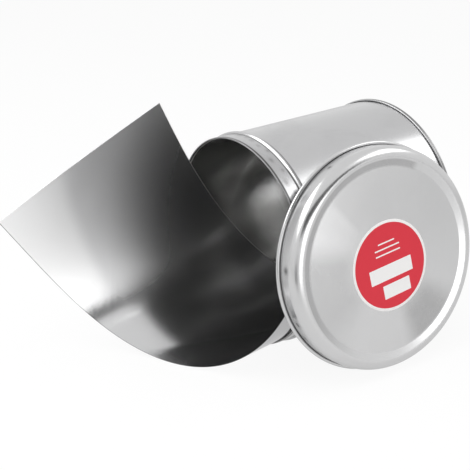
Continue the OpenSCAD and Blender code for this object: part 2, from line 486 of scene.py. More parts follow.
@dataclass(frozen=True)
class MetalFinish:
    """A rolled metal surface with fine lines, smudges, grime, and painted shade in its creases.

    Lengths follow the piece's UV map, whose unit is a millimetre; the grime and painted shade are the
    piece's own attribute, and small spots make the darkening a little uneven.
    """

    name: str
    bright: Colour
    dull: Colour
    roughness: float
    smudge_rough: float
    smudge_scale: float
    smudge_tone: float = 0.6
    line_rough: float = 0.06
    line_height: float = 0.004
    grime_and_shade: Colour = (0.035, 0.034, 0.033)
    darkening_share: float = 0.89
    darkening_rough: float = 0.18
    spot_share: float = 0.04
    spot_scale: float = 4.0

    def material(self, effects: Effects) -> bpy.types.Material:
        """Builds the material.

        Args:
            effects: the shared shader groups.

        Returns:
            The material.
        """
        material, g, shader = principled(self.name)
        uv = g.add("UVMap", uv_map="surface").outputs[0]
        place = g.add("TexCoord").outputs["Object"]
        fine = effects.lines.place(g, Vector=uv)
        smudge = effects.marks.place(g, **{"Vector": place, "Smudge Scale": self.smudge_scale})
        spot_scale = self.spot_scale * self.smudge_scale
        spots = effects.marks.place(g, **{"Vector": place, "Smudge Scale": spot_scale})
        # Grime and painted shade, kept on the piece, darken the metal toward the dark colour
        grime_and_shade = g.add("Attribute", attribute_name="grime_and_shade").outputs["Fac"]
        darkening = g.math("MULTIPLY", grime_and_shade, g.math("MULTIPLY_ADD", spots, self.spot_share, self.darkening_share))
        smudged = g.math("MULTIPLY", smudge, self.smudge_tone)
        tone = g.mix(smudged, (*self.bright, 1), (*self.dull, 1))
        rough = g.math("MULTIPLY_ADD", smudge, self.smudge_rough, self.roughness)
        rough = g.math("MULTIPLY_ADD", fine, self.line_rough, rough)
        height = g.math("MULTIPLY", fine, self.line_height)
        bump = g.add("Bump", {"Height": height, "Strength": 1.0, "Distance": MM})
        g.feed(shader, {
            "Base Color": g.mix(darkening, tone, (*self.grime_and_shade, 1)),
            "Roughness": g.math("MULTIPLY_ADD", darkening, self.darkening_rough, rough),
            "Normal": bump.outputs[0],
            "Metallic": 1.0,
        })
        return material


CAN_FINISH = MetalFinish(
    name="can_tinplate", bright=(0.515, 0.515, 0.52), dull=(0.475, 0.475, 0.48),
    roughness=0.19, smudge_rough=0.05, smudge_scale=22.0,
)
LID_FINISH = MetalFinish(
    name="lid_tinplate", bright=(0.745, 0.745, 0.75), dull=(0.725, 0.725, 0.73),
    roughness=0.15, smudge_rough=0.03, smudge_scale=26.0,
)


@dataclass(frozen=True)
class FoilFinish:
    """Bright rolled foil, dulled by handling and paler with a painted reflection toward its free end,
    paler on the coil with painted light, with a painted highlight along the slit edge and a darker
    line along the far edge.

    Lengths are millimetres on the strip's UV map: U runs from the free end, V from the inner edge,
    and V is negative on the outer face, which stays plain but for the corner at its start. Each
    mask is a smooth step of U, of V, or of one of them plus or minus a slant times the other.
    """

    name: str = "rolled_foil"
    # Plain foil, and the coil paler with painted light inside the can, which sets in along its length
    plain: Colour = (0.59, 0.59, 0.595)
    coil_lit: Colour = (0.84, 0.84, 0.825)
    coil_from: float = 330.0
    coil_to: float = 390.0
    # Handled corner, paler with a painted reflection: one slanting mask times one that ends its reach
    handled_and_lit: Colour = (0.82, 0.82, 0.825)
    handled_lit_from: float = -48.0
    handled_lit_to: float = 160.0
    handled_lit_slant: float = 1.3
    reach_from: float = 192.0
    reach_to: float = 240.0
    reach_slant: float = 0.6
    # Palest part of the handled corner, a painted reflection
    pale: Colour = (0.97, 0.97, 0.97)
    pale_from: float = 83.0
    pale_to: float = 99.0
    pale_slant: float = 0.265
    # Painted highlight along the slit edge at the inner side, and a darker line along the far one
    slit_highlight: Colour = (0.86, 0.85, 0.83)
    slit_highlight_from: float = 0.165
    slit_highlight_to: float = 0.55
    slit_rough: float = 0.3
    far_line: Colour = (0.34, 0.34, 0.345)
    far_line_from: float = 0.275
    far_line_to: float = 0.66
    width: float = 150.0
    # Gloss, smudges and rolled lines
    rough: float = 0.085
    handled_rough: float = 0.43
    smudge_rough: float = 0.03
    smudge_scale: float = 14.0
    smudge_reach: float = 10.0
    line_rough: float = 0.11
    line_along: float = 0.05
    line_across: float = 5.0
    line_reach: float = 24.0
    line_depth: float = 0.000002
    metallic: float = 0.98

    def material(self, effects: Effects) -> bpy.types.Material:
        """Builds the material.

        Args:
            effects: the shared shader groups.

        Returns:
            The material.
        """
        material, g, shader = principled(self.name)
        uv = g.add("UVMap", uv_map="surface").outputs[0]
        split = g.add("SeparateXYZ", {0: uv})
        along, across = split.outputs[0], split.outputs[1]
        side = g.math("ABSOLUTE", across)
        place = g.add("TexCoord").outputs["Object"]
        fine = effects.lines.place(g, Vector=uv, Along=self.line_along, Across=self.line_across)
        smudge = effects.marks.place(g, **{"Vector": place, "Smudge Scale": self.smudge_scale})
        grain = g.math("MULTIPLY_ADD", smudge, self.smudge_reach, along)
        grain = g.math("MULTIPLY_ADD", fine, self.line_reach, grain)
        slanted = g.math("MULTIPLY_ADD", across, -self.handled_lit_slant, grain)
        corner = g.ramp(slanted, self.handled_lit_from, self.handled_lit_to, 1.0, 0.0)
        slanted = g.math("MULTIPLY_ADD", across, self.reach_slant, grain)
        near = g.ramp(slanted, self.reach_from, self.reach_to, 1.0, 0.0)
        handled_and_lit = g.math("MULTIPLY", corner, near)
        slanted = g.math("MULTIPLY_ADD", along, -self.pale_slant, across)
        pale = g.ramp(slanted, self.pale_from, self.pale_to, 0.0, 1.0)
        coil_lit = g.ramp(along, self.coil_from, self.coil_to, 0.0, 1.0)
        slit_highlight = g.ramp(side, self.slit_highlight_from, self.slit_highlight_to, 1.0, 0.0)
        far_line = g.ramp(g.math("SUBTRACT", self.width, side), self.far_line_from, self.far_line_to, 1.0, 0.0)
        tone = g.mix(coil_lit, (*self.plain, 1), (*self.coil_lit, 1))
        tone = g.mix(handled_and_lit, tone, g.mix(pale, (*self.handled_and_lit, 1), (*self.pale, 1)))
        tone = g.mix(slit_highlight, tone, (*self.slit_highlight, 1))
        rough = g.math("MULTIPLY_ADD", smudge, self.smudge_rough, self.rough)
        rough = g.math("MULTIPLY_ADD", fine, self.line_rough, rough)
        rough = g.math("MULTIPLY_ADD", handled_and_lit, self.handled_rough - self.rough, rough)
        bump = g.add("Bump", {"Height": fine, "Strength": 1.0, "Distance": self.line_depth})
        g.feed(shader, {
            "Base Color": g.mix(far_line, tone, (*self.far_line, 1)),
            "Roughness": g.math("MULTIPLY_ADD", slit_highlight, self.slit_rough, rough),
            "Normal": bump.outputs[0],
            "Metallic": self.metallic,
        })
        return material


@dataclass(frozen=True)
class LabelPrint:
    """A round red paper label with a white rim, blank white fields and ruled lines, in millimetres.

    Each field is its centre and its half width and half height.
    """

    red: Colour = (0.68, 0.030, 0.050)
    white: Colour = (0.86, 0.85, 0.84)
    rim_radius: float = 35.2
    rim_half: float = 1.7
    fields: tuple[tuple[float, float, float, float], ...] = (
        (0.0, -4.4, 20.5, 5.9), (2.6, -19.4, 13.0, 5.4),
        (0.0, 19.0, 8.0, 0.55), (0.0, 14.6, 12.0, 0.55), (0.0, 10.2, 12.0, 0.55),
    )
    field_corner: float = 0.5
    # Paper
    fibre_scale: float = 900.0
    fibre_tone: float = 0.25
    fibre_shade: float = 0.82
    fibre_depth: float = 0.00005
    fibre_rough: float = 0.18
    rough: float = 0.44
    specular: float = 0.3

    def material(self, effects: Effects) -> bpy.types.Material:
        """Builds the printed paper.

        Args:
            effects: the shared shader groups.

        Returns:
            The material.
        """
        material, g, shader = principled("label_paper")
        uv = g.add("UVMap", uv_map="surface").outputs[0]
        rim = {"Radius": self.rim_radius, "Half Width": self.rim_half}
        mask = effects.rings.place(g, Vector=uv, **rim)
        for x, y, half_w, half_h in self.fields:
            sizes = {"Centre X": x, "Centre Y": y, "Half Width": half_w, "Half Height": half_h}
            field = effects.fields.place(g, Vector=uv, Corner=min(self.field_corner, half_h), **sizes)
            mask = g.math("MAXIMUM", mask, field)
        place = g.add("TexCoord").outputs["Object"]
        fibre = g.add("TexNoise", {"Vector": place, "Scale": self.fibre_scale, "Detail": 3.0}).outputs[0]
        shaded = tuple(self.fibre_shade * c for c in self.red)
        red = g.mix(g.math("MULTIPLY", fibre, self.fibre_tone), (*self.red, 1), (*shaded, 1))
        bump = g.add("Bump", {"Height": fibre, "Strength": 0.25, "Distance": self.fibre_depth})
        g.feed(shader, {
            "Base Color": g.mix(mask, red, (*self.white, 1)),
            "Roughness": g.math("MULTIPLY_ADD", fibre, self.fibre_rough, self.rough),
            "Normal": bump.outputs[0],
            "Specular IOR Level": self.specular,
        })
        return material


# Pieces


@dataclass(frozen=True)
class DarkLine:
    """A dark line round the can: its distance from the mouth, width and strength."""

    at: float
    width: float
    strength: float

    def over(self, down: np.ndarray) -> np.ndarray:
        """The line's strength at distances from the mouth, a bell curve about its place."""
        return self.strength * bell(down, self.at, self.width)


@dataclass
class Can:
    """The tin can: its wall and its base, sizes in millimetres, distances from the mouth.

    A speck is its angle in degrees, its distance from the mouth and its size.
    """

    datum: Datum
    # Wall, its rolled edge and its bead
    radius: float = 86.0
    tin: float = 0.3
    height: float = 156.185
    hem: float = 1.2
    hem_lap: float = 1.4
    bead_at: float = 15.4
    bead_w: float = 4.6
    bead_h: float = 1.7
    # Recessed base and the double seam, in which the wall's flange and the base's hook interlock
    recess: float = 4.0
    recess_bend: float = 1.0
    seam_h: float = 3.2
    seam_pitch: float = 0.555
    seam_bend: float = 0.7
    flange_bend: float = 0.5
    flange_share: float = 0.5
    tuck_share: float = 0.35
    seat: float = 0.3
    # Rows of vertices, closer together where the grime has an edge
    hem_end: float = 1.0
    hem_line: float = 3.4
    bead_foot: float = 1.4
    bead_past: float = 2.2
    seam_near: float = 4.5
    neck_rows: tuple[int, ...] = (13, 10, 8)
    bead_rows: int = 33
    body_rows: tuple[int, ...] = (10, 24, 16)
    segments: int = 320
    # Grime and painted shade, from 0 for none to 1 for wholly dark
    # Sector in which the bead's feet darken more, a painted reflection of something dark
    dark_reflection_sector: tuple[Pair, Pair] = ((-30.0, -15.0), (55.0, 62.0))
    neck_film: float = 0.10
    speck_dark: float = 0.4
    speck_stretch: float = 1.6
    specks: tuple[tuple[float, float, float], ...] = (
        (97, 10.0, 1.3), (91, 11.0, 1.0), (86, 10.4, 1.4), (79, 9.0, 1.1), (73, 11.2, 1.2),
        (66, 7.0, 1.6), (58, 9.6, 1.2), (51, 6.0, 1.8), (44, 9.0, 1.3), (37, 7.4, 1.6),
        (150, 8.0, 1.8), (-155, 6.5, 1.5), (-60, 9.0, 1.6), (-110, 7.5, 1.9),
    )
    skin: float = 1.0
    # Hidden side of the rolled edge, wholly dark with painted shade
    hidden: Pair = (0.35, 4.0)
    seam_dull: float = 0.8
    seam_mid: float = 1.9
    seam_half: float = 1.1
    # Painted shade inside the base, but for a round spot left bright as a painted highlight
    inside_shade: float = 0.95
    inside_gap: float = 2.0
    bright_spot_at: Pair = (4.0, -20.0)
    bright_spot_reach: float = 50.0
    bright_spot_core: float = 17.5

    @property
    def wall(self) -> float:
        """Radius of the middle of the wall."""
        return self.radius - self.tin / 2

    @property
    def bead_ends(self) -> Pair:
        """Where the bead starts and ends."""
        return self.bead_at - self.bead_w / 2, self.bead_at + self.bead_w / 2

    def straight(self, stops: tuple[float, ...], rows: tuple[int, ...]) -> np.ndarray:
        """Points up the plain wall, a number of rows spread evenly between each two stops."""
        spans = zip(stops, stops[1:], rows)
        return np.vstack([line((self.wall, low), (self.wall, high), count) for low, high, count in spans])

    def wall_path(self) -> np.ndarray:
        """Middle of the wall: rolled edge, neck, raised-cosine bead, plain wall and seam flange.

        Returns:
            Points (radius, distance from the mouth).
        """
        roll = (self.hem - self.tin) / 2
        wall, flange, bend = self.wall, self.height - 1.5 * self.tin - self.seat, self.flange_bend
        rise, fall = self.bead_ends
        neck = (self.hem_end, self.hem_line, rise - self.bead_foot, rise)
        body = (fall, fall + self.bead_past, flange - self.seam_near, flange - bend)
        u = np.linspace(-1, 1, self.bead_rows)
        swell = self.bead_h * (1 + np.cos(np.pi * u)) / 2
        hook = wall + 2 * self.seam_pitch
        return np.vstack([
            [[wall - 2 * roll, self.tin + self.hem_lap]],
            arc((wall - roll, roll + self.tin / 2), roll, 180, 360, 17),
            self.straight(neck, self.neck_rows),
            np.stack([wall + swell, self.bead_at + u * self.bead_w / 2], -1),
            self.straight(body, self.body_rows),
            arc((wall + bend, flange - bend), bend, 180, 90, 5),
            arc((hook - bend, flange - bend), bend, 90, 0, 5),
            [[hook, flange - self.seam_h * self.flange_share]],
        ])

    def base_path(self) -> np.ndarray:
        """Middle of the base: panel, recess wall, flat seam top and the hook tucked under.

        Returns:
            Points (radius, distance from the mouth).
        """
        base = self.height - self.recess + self.tin / 2
        top, wall, pitch = self.height - self.tin / 2, self.wall, self.seam_pitch
        chuck, leg = wall - pitch, wall + 3 * pitch
        tuck = self.height - self.seam_h + pitch / 2 + self.tin / 2
        foot, bend = self.recess_bend, self.seam_bend
        return np.vstack([
            [[0.0, base]],
            line((0, base), (chuck - foot, base), 26),
            arc((chuck - foot, base + foot), foot, 270, 360, 9),
            arc((chuck + bend, top - bend), bend, 180, 90, 9),
            arc((leg - bend, top - bend), bend, 90, 0, 9),
            line((leg, top - bend), (leg, tuck), 8),
            arc((leg - pitch, tuck), pitch, 360, 180, 13),
            [[wall + pitch, tuck + self.seam_h * self.tuck_share]],
        ])

    def turned(self, name: str, path: np.ndarray) -> bpy.types.Object:
        """Turns a sheet's path about the can's axis: height runs along Y.

        Args:
            name: name of the piece.
            path: middle of the sheet as (radius, distance from the mouth).

        Returns:
            The piece.
        """
        points, angle, faces, uv = revolve(sheet_outline(path, self.tin), self.segments)
        piece = mesh_piece(name, self.datum.row(points[:, [0, 2, 1]]), faces, uv)
        set_grime_and_shade(piece, self.grime_and_shade(points, angle))
        return piece

    def bend_lines(self, angle: np.ndarray, down: np.ndarray) -> np.ndarray:
        """Dark lines in the bends: painted shade at the rolled edge and painted reflection at the bead's
        feet, more on a stretch that mirrors something dark.

        Args:
            angle: place of each point round the axis.
            down: distance of each point from the mouth.

        Returns:
            A value for each point.
        """
        rise, fall = self.bead_ends
        # Painted shade at the rolled edge, painted reflection of dark things at the bead's feet
        edge = (DarkLine(self.hem + 0.3, 0.75, 1.0), DarkLine(0.2, 0.5, 0.45))
        bends = (*edge, DarkLine(fall, 0.6, 0.9), DarkLine(rise, 0.6, 0.7))
        dark_reflection_lines = (DarkLine(rise + 0.5, 0.6, 0.6), DarkLine(self.bead_at - 0.1, 0.42, 0.8))
        dark_reflection_sector = sector(np.degrees(turn_from(angle, 0.0)), *self.dark_reflection_sector)
        return sum(darkening.over(down) for darkening in bends) + dark_reflection_sector * sum(darkening.over(down) for darkening in dark_reflection_lines)

    def neck_stain(self, angle: np.ndarray, down: np.ndarray) -> np.ndarray:
        """Film on the neck, uneven with the product of two sines of the angle, and its specks.

        Args:
            angle: place of each point round the axis.
            down: distance of each point from the mouth.

        Returns:
            A value for each point.
        """
        uneven = 1 + 0.8 * np.sin(3 * angle + 1) * np.sin(5 * angle)
        darkening = self.neck_film * uneven * (down < self.bead_ends[0])
        for where, level, size in self.specks:
            around = turn_from(angle, where) * self.wall
            darkening += self.speck_dark * patch(around, down - level, self.speck_stretch * size, size)
        return darkening

    def shade_inside(self, points: np.ndarray, radius: np.ndarray) -> np.ndarray:
        """Painted shade inside the base, left out in a round spot with a soft edge as a painted highlight.

        Args:
            points: the turned sheet, its third value the distance from the mouth.
            radius: distance of each point from the axis.

        Returns:
            A value for each point.
        """
        down = points[:, 2]
        deep = (down > self.height / 2) & (down < self.height - self.recess + self.tin / 2)
        off = np.hypot(points[:, 0] - self.bright_spot_at[0], points[:, 1] - self.bright_spot_at[1])
        bright_spot = soft_step(-off, -self.bright_spot_reach, -self.bright_spot_core)
        return self.inside_shade * (1 - bright_spot) * (deep & (radius < self.wall - self.inside_gap))

    def grime_and_shade(self, points: np.ndarray, angle: np.ndarray) -> np.ndarray:
        """Grime and painted shade: dark lines of painted shade and painted reflection in the bends, a
        stained neck, a darker seam and painted shade inside the base.

        The hidden side of the rolled edge is wholly dark, painted shade.

        Args:
            points: the turned sheet, its third value the distance from the mouth.
            angle: place of each point round the axis.

        Returns:
            A value for each point.
        """
        down, radius = points[:, 2], np.hypot(points[:, 0], points[:, 1])
        lines = self.bend_lines(angle, down) * (radius > self.wall - self.skin)
        start, end = self.hidden
        hidden = (radius < self.wall - 0.5 * self.hem) & (down > start) & (down < end)
        leg = radius > self.wall + 2.5 * self.seam_pitch
        seam = DarkLine(self.height - self.seam_mid, self.seam_half, self.seam_dull).over(down) * leg
        return lines + self.neck_stain(angle, down) + hidden + seam + self.shade_inside(points, radius)

    def build(self, material: bpy.types.Material) -> None:
        """Makes and dresses the wall and the base.

        Args:
            material: the can's finish.
        """
        for name, path in (("can_body", self.wall_path()), ("can_base", self.base_path())):
            piece = self.turned("tin_" + name, path)
            finish_piece(piece, material, Slot.CAN, name)


@dataclass(frozen=True)
class Shade:
    """A sector of the lid's panel with painted reflection: the angles in which it opens and closes, the
    radii in which it sets in.
    """

    opens: Pair
    closes: Pair
    sets_in: Pair
    strength: float = 1.0

    def over(self, turn: np.ndarray, radius: np.ndarray) -> np.ndarray:
        """The shade's strength at angles and radii, a soft step of the radius in a soft sector."""
        return self.strength * sector(turn, self.opens, self.closes) * soft_step(radius, *self.sets_in)


@dataclass
class Lid:
    """The slip lid and its label, sizes in millimetres, heights from the skirt's edge.

    Angles run from the lid's lowest point toward the can's base. A dent is its angle, its height,
    its size and its depth.
    """

    # Sheet and the slight wave of its panel
    skirt: float = 86.65
    tin: float = 0.3
    curl_d: float = 2.98
    curl_end: float = 488.0
    shoulder: float = 7.5
    shoulder_h: float = 13.1
    slope: float = 15.0
    crease: float = 1.2
    panel_r: float = 72.70
    panel_wave: float = 0.12
    wave_fade: float = 12.0
    wave_start: float = 0.7
    segments: int = 320
    # How the lid leans on the can, in degrees
    lean: float = 12.1
    turn: float = 4.0
    # Label, set down and back from the panel's middle
    label_r: float = 35.7
    label_t: float = 0.12
    label_edge: float = 0.06
    label_down: float = 4.6
    label_back: float = 1.8
    label_segments: int = 180
    print_turn: float = 6.0
    # Dents in the skirt and the lengths over which they set in
    dents: tuple[tuple[float, float, float, float], ...] = (
        (291, 9.0, 4.5, 0.30), (301, 6.5, 2.6, 0.25), (314, 8.5, 3.4, 0.28), (329, 7.0, 2.8, 0.22),
        (262, 10.0, 5.0, 0.20), (20, 8.0, 4.0, 0.25), (75, 9.5, 3.5, 0.22), (150, 7.5, 4.5, 0.30),
        (205, 8.5, 3.0, 0.22),
    )
    dent_in: float = 4.0
    dent_up: float = 2.0
    # Grime and painted shade, from 0 for none to 1 for wholly dark
    film: float = 0.25
    skirt_film: float = 0.10
    skirt_mid: float = 8.0
    skirt_half: float = 4.0
    skirt_share: float = 0.6
    dent_dark: float = 0.6
    # Painted reflection on the panel: two darker sectors, and a brighter one where the film is taken away
    shaded_wedge: Shade = Shade((5, 24), (40, 64), (30, 52), 0.27)
    left_shaded_wedge: Shade = Shade((240, 264), (296, 330), (28, 44), 0.14)
    bright_wedge: Shade = Shade((217, 225), (236, 264), (26, 58))
    # Painted reflection: the sloping ring is darker in its upper part
    ring_shade: float = 0.26
    ring_sector: tuple[Pair, Pair] = ((150.0, 156.0), (285.0, 335.0))
    ring_reach: Pair = (4.0, 5.0)
    ring_gap: float = 0.2

    @property
    def panel_h(self) -> float:
        """Height of the middle of the panel, down the sloping ring from the shoulder.

        Returns:
            The height.
        """
        tilt = math.radians(self.slope)
        ring_r = self.skirt - self.shoulder - self.shoulder * math.sin(tilt)
        return self.shoulder_h + self.shoulder * math.cos(tilt) - (ring_r - self.panel_r) * math.tan(tilt)

    def axes(self) -> np.ndarray:
        """The lid's axes in the row frame.

        Returns:
            Rows: the lid's downhill way, its way toward the can's base and its face's way out.
        """
        lean, turn = math.radians(self.lean), math.radians(self.turn)
        out = (math.cos(lean) * math.cos(turn), -math.cos(lean) * math.sin(turn), math.sin(lean))
        down = (math.sin(lean) * math.cos(turn), -math.sin(lean) * math.sin(turn), -math.cos(lean))
        return np.array([down, (math.sin(turn), math.cos(turn), 0.0), out])

    def place(self, points: np.ndarray) -> np.ndarray:
        """Points put where the label's solid says the lid leans.

        Args:
            points: points of the lid's frame in millimetres.

        Returns:
            Points of the row frame in metres.
        """
        low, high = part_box("lid_label")
        height = self.panel_h + self.tin / 2 + self.label_t / 2
        label = np.array([self.label_down, self.label_back, height])
        return np.array((low + high) / 2) + (points - label) @ self.axes() * MM

    def path(self) -> np.ndarray:
        """Middle of the sheet: panel, crease, sloping ring, shoulder, skirt and outward curl.

        Returns:
            Points (radius, height).
        """
        roll = (self.curl_d - self.tin) / 2
        edge = (self.panel_r - self.crease * math.tan(math.radians(self.slope) / 2), self.panel_h)
        ring = arc((self.skirt - self.shoulder, self.shoulder_h), self.shoulder, 90 + self.slope, 0, 30)
        bend = arc((edge[0], edge[1] + self.crease), self.crease, 270, 270 + self.slope, 6)
        curl = arc((self.skirt + roll, roll + self.tin / 2), roll, 180, self.curl_end, 34)
        return np.vstack([
            [[0.0, self.panel_h]],
            line((0, self.panel_h), edge, 44),
            bend,
            line(tuple(bend[-1]), tuple(ring[0]), 8),
            ring,
            line(tuple(ring[-1]), tuple(curl[0]), 14),
            curl,
        ])

    def build(self, material: bpy.types.Material) -> None:
        """Makes and dresses the lid.

        Args:
            material: the lid's finish.
        """
        points, angle, faces, uv = revolve(sheet_outline(self.path(), self.tin), self.segments)
        piece = mesh_piece("slip_lid", self.place(self.dented(points, angle)), faces, uv)
        set_grime_and_shade(piece, self.grime_and_shade(points, angle))
        finish_piece(piece, material, Slot.LID, "lid")

    def dented(self, points: np.ndarray, angle: np.ndarray) -> np.ndarray:
        """Pushes small dents into the skirt and lets the panel wave a little.

        A dent is a bell curve of the distance on the skirt from its middle, pushed toward the axis; the
        panel's height changes by a fraction of a millimetre with twice the angle and the squared radius.

        Args:
            points: the lid as turned.
            angle: place of each point round the axis.

        Returns:
            The moved points.
        """
        height, radius = points[:, 2], np.hypot(points[:, 0], points[:, 1])
        push = np.zeros(len(points))
        for where, level, size, depth in self.dents:
            push += depth * patch(turn_from(angle, where) * self.skirt, height - level, size, size)
        push *= np.clip((radius - self.panel_r) / self.dent_in, 0, 1)
        push *= np.clip((height - self.curl_d) / self.dent_up, 0, 1)
        inside = np.clip(radius / self.panel_r, 0, 1) ** 2
        inside *= np.clip((self.panel_r - radius) / self.wave_fade, 0, 1)
        wave = self.panel_wave * np.sin(2 * angle + self.wave_start) * inside
        scale = 1 - push / np.maximum(radius, 1.0)
        return np.stack([points[:, 0] * scale, points[:, 1] * scale, height + wave], -1)

    def grime_and_shade(self, points: np.ndarray, angle: np.ndarray) -> np.ndarray:
        """Grime and painted shade: a film, darker on the skirt and in its dents, and painted sectors.

        The panel's two darker sectors and its brighter third one are painted reflection, and so is the
        sloping ring's darker upper part.

        Args:
            points: the lid as turned.
            angle: place of each point round the axis.

        Returns:
            A value for each point.
        """
        height, radius = points[:, 2], np.hypot(points[:, 0], points[:, 1])
        uneven = 1 + 0.5 * np.sin(4 * angle + 2) * np.sin(7 * angle)
        skirt = self.skirt_film * bell(height, self.skirt_mid, self.skirt_half) * uneven
        for where, level, size, _ in self.dents:
            around = turn_from(angle, where) * self.skirt
            skirt += self.dent_dark * patch(around, height - level, size / 2, size / 2)
        turn = np.degrees(angle) % 360
        panel = self.film * (1 - self.bright_wedge.over(turn, radius))
        panel += self.shaded_wedge.over(turn, radius) + self.left_shaded_wedge.over(turn, radius)
        near, far = self.ring_reach
        past = radius - self.panel_r
        upper = sector(turn, *self.ring_sector) * soft_step(-past, -far, -near)
        sheet = np.where(past < -self.ring_gap, panel, self.film + self.ring_shade * upper)
        outer = radius > self.skirt - self.shoulder * self.skirt_share
        return np.where(outer, self.film + skirt, sheet)

    def build_label(self, material: bpy.types.Material) -> None:
        """Makes and dresses the label: a thin disc on polar rings, its print turned in its plane.

        Args:
            material: the printed paper.
        """
        flat = self.label_r - self.label_edge
        outline = np.vstack([
            [[0.0, self.label_t]],
            line((0.0, self.label_t), (flat, self.label_t), 18),
            [[flat, self.label_t], [self.label_r, self.label_t - self.label_edge]],
            [[self.label_r, 0.0], [0.0, 0.0]],
        ])
        points, _, faces, _ = revolve(outline, self.label_segments)
        tilt = math.radians(self.print_turn)
        right, up = points[:, 1], -points[:, 0]
        along = right * math.cos(tilt) + up * math.sin(tilt)
        uv = np.stack([along, up * math.cos(tilt) - right * math.sin(tilt)], -1)
        base = np.array([self.label_down, self.label_back, self.panel_h + self.tin / 2])
        piece = mesh_piece("round_label", self.place(points + base), faces, uv)
        finish_piece(piece, material, Slot.LABEL, "lid_label")


@dataclass
class FoilStrip:
    """The foil: a coil against the can's wall and the band drawn out of its bore, in millimetres."""

    datum: Datum
    # Strip
    width: float = 150.0
    thick: float = 0.1
    # Coil, from its bore out to the can's wall, with a wave along its edges
    coil_r: float = 85.4
    bore: float = 84.4908
    lead_in: float = 2.2
    turns: float = 8.6
    coil_start: float = 20.0
    edge_inset: float = 0.25
    edge_wave: float = 0.22
    wave_rates: Pair = (2.3, 0.37)
    # Band: how it is wound, how its curve eases, how far it reaches and how it joins the coil
    lead: float = 28.0
    slack: float = 8.36
    off: float = 225.0
    ease: float = 193.5
    reach: float = 35.2
    inside: float = 13.2
    join: float = 90.0
    bore_gap: float = 0.15
    # Where the band lies: shifted, drooped and swung, and set on the floor line
    shift: float = 5.07
    droop: float = 4.2
    swing: float = 1.1
    seat: float = 0.294
    floor: float = 87.7
    # Grids, and the angle in degrees past which an edge is sharp
    rows: int = 300
    columns: int = 64
    section_steps: int = 4001
    turn_rows: int = 120
    coil_columns: int = 12
    sharp: float = 40.0

    def heading(self, s: np.ndarray) -> np.ndarray:
        """Direction of the section at s: curvature grows evenly from none to 1 / round radius, then stays."""
        r, ease, off = self.bore - self.slack, self.ease, math.radians(self.off - 270)
        return np.where(s > ease, off + (s - ease) / r, off - (ease**2 - s**2) / (2 * ease * r))

    def section(self, s: np.ndarray) -> np.ndarray:
        """Points of the section, summed from its heading and anchored on the round stretch.

        Args:
            s: distances along the section.

        Returns:
            Points (x, z).
        """
        r, ease, off = self.bore - self.slack, self.ease, math.radians(self.off)
        node = np.linspace(0.0, max(float(s.max()), ease) + 1.0, self.section_steps)
        mid = (node[1:] + node[:-1]) / 2
        step = np.diff(node)
        way = self.heading(mid)
        x = np.concatenate([[0], np.cumsum(np.cos(way) * step)])
        z = np.concatenate([[0], np.cumsum(np.sin(way) * step)])
        x += r * math.cos(off) - np.interp(ease, node, x)
        z += r * math.sin(off) - np.interp(ease, node, z)
        return np.stack([np.interp(s, node, x), np.interp(s, node, z)], -1)

    @property
    def tail(self) -> float:
        """Length of the drawn-out band up to where it meets the coil."""
        lead = math.radians(self.lead)
        return (self.reach + self.width * math.cos(lead) + self.lead_in + self.inside) / math.sin(lead)

    def loose(self, along: np.ndarray, across: np.ndarray, out: float) -> np.ndarray:
        """Points of the band before it is set on the floor.

        A flat strip wound at the lead angle on the section's cylinder: s = l cos a + b sin a round
        it and h = reach - l sin a + b cos a along it, then drooped about X and swung about Z.

        Args:
            along: distance l from the free end.
            across: distance b from the inner edge.
            out: offset along the section's outward normal.

        Returns:
            Points in the can's frame.
        """
        lead, droop, swing = (math.radians(v) for v in (self.lead, self.droop, self.swing))
        s = along * math.cos(lead) + across * math.sin(lead)
        h = self.reach - along * math.sin(lead) + across * math.cos(lead)
        way = self.heading(s)
        spot = self.section(s) + out * np.stack([np.sin(way), -np.cos(way)], -1)
        x, y, z = spot[..., 0] + self.shift, -h, spot[..., 1]
        y, z = y * math.cos(droop) - z * math.sin(droop), y * math.sin(droop) + z * math.cos(droop)
        x, y = x * math.cos(swing) - y * math.sin(swing), x * math.sin(swing) + y * math.cos(swing)
        return np.stack([x, y, z], -1)

    def band(self, along: np.ndarray, across: np.ndarray, out: float) -> np.ndarray:
        """Points of the band on the floor, its far end led to the coil's bore by a squared share.

        Args:
            along: distance from the free end.
            across: distance from the inner edge.
            out: offset along the section's outward normal.

        Returns:
            Points in the can's frame.
        """
        lowest = self.loose(along, across, self.thick)[..., 2].min()
        points = self.loose(along, across, 0.0) + np.array([0, 0, self.seat - self.floor - lowest])
        radius = np.hypot(points[..., 0], points[..., 2])
        share = np.clip(1 + (along - self.tail) / self.join, 0, 1) ** 2
        scale = 1 + ((self.bore - self.bore_gap) / radius - 1) * share
        points = points * np.stack([scale, np.ones_like(scale), scale], -1)
        return points + self.loose(along, across, out) - self.loose(along, across, 0.0)

    def shell(self, inner: np.ndarray, outer: np.ndarray) -> tuple[np.ndarray, np.ndarray]:
        """Closes two grids of one shape into a thin solid.

        Args:
            inner: grid (n, m, 3) of the inner face.
            outer: grid (n, m, 3) of the outer face.

        Returns:
            Points and quads. Round the strip, each column runs down one face and back up the other.
        """
        loop = np.concatenate([inner, outer[:, ::-1]], 1)
        n, m = loop.shape[:2]
        sides = grid_faces(n, m, False, True)
        here = np.arange(m // 2 - 1)
        start = np.stack([here, m - 1 - here, m - 2 - here, here + 1], -1)
        end = (start + (n - 1) * m)[:, ::-1]
        return loop.reshape(-1, 3), np.vstack([sides, start, end])

    def face_uv(self, along: np.ndarray, across: np.ndarray) -> np.ndarray:
        """UV pairs of a shell: (along, across) on the inner face, (along, -across) on the outer one."""
        inner, outer = np.stack([along, across], -1), np.stack([along, -across], -1)
        return np.concatenate([inner, outer[:, ::-1]], 1).reshape(-1, 2)

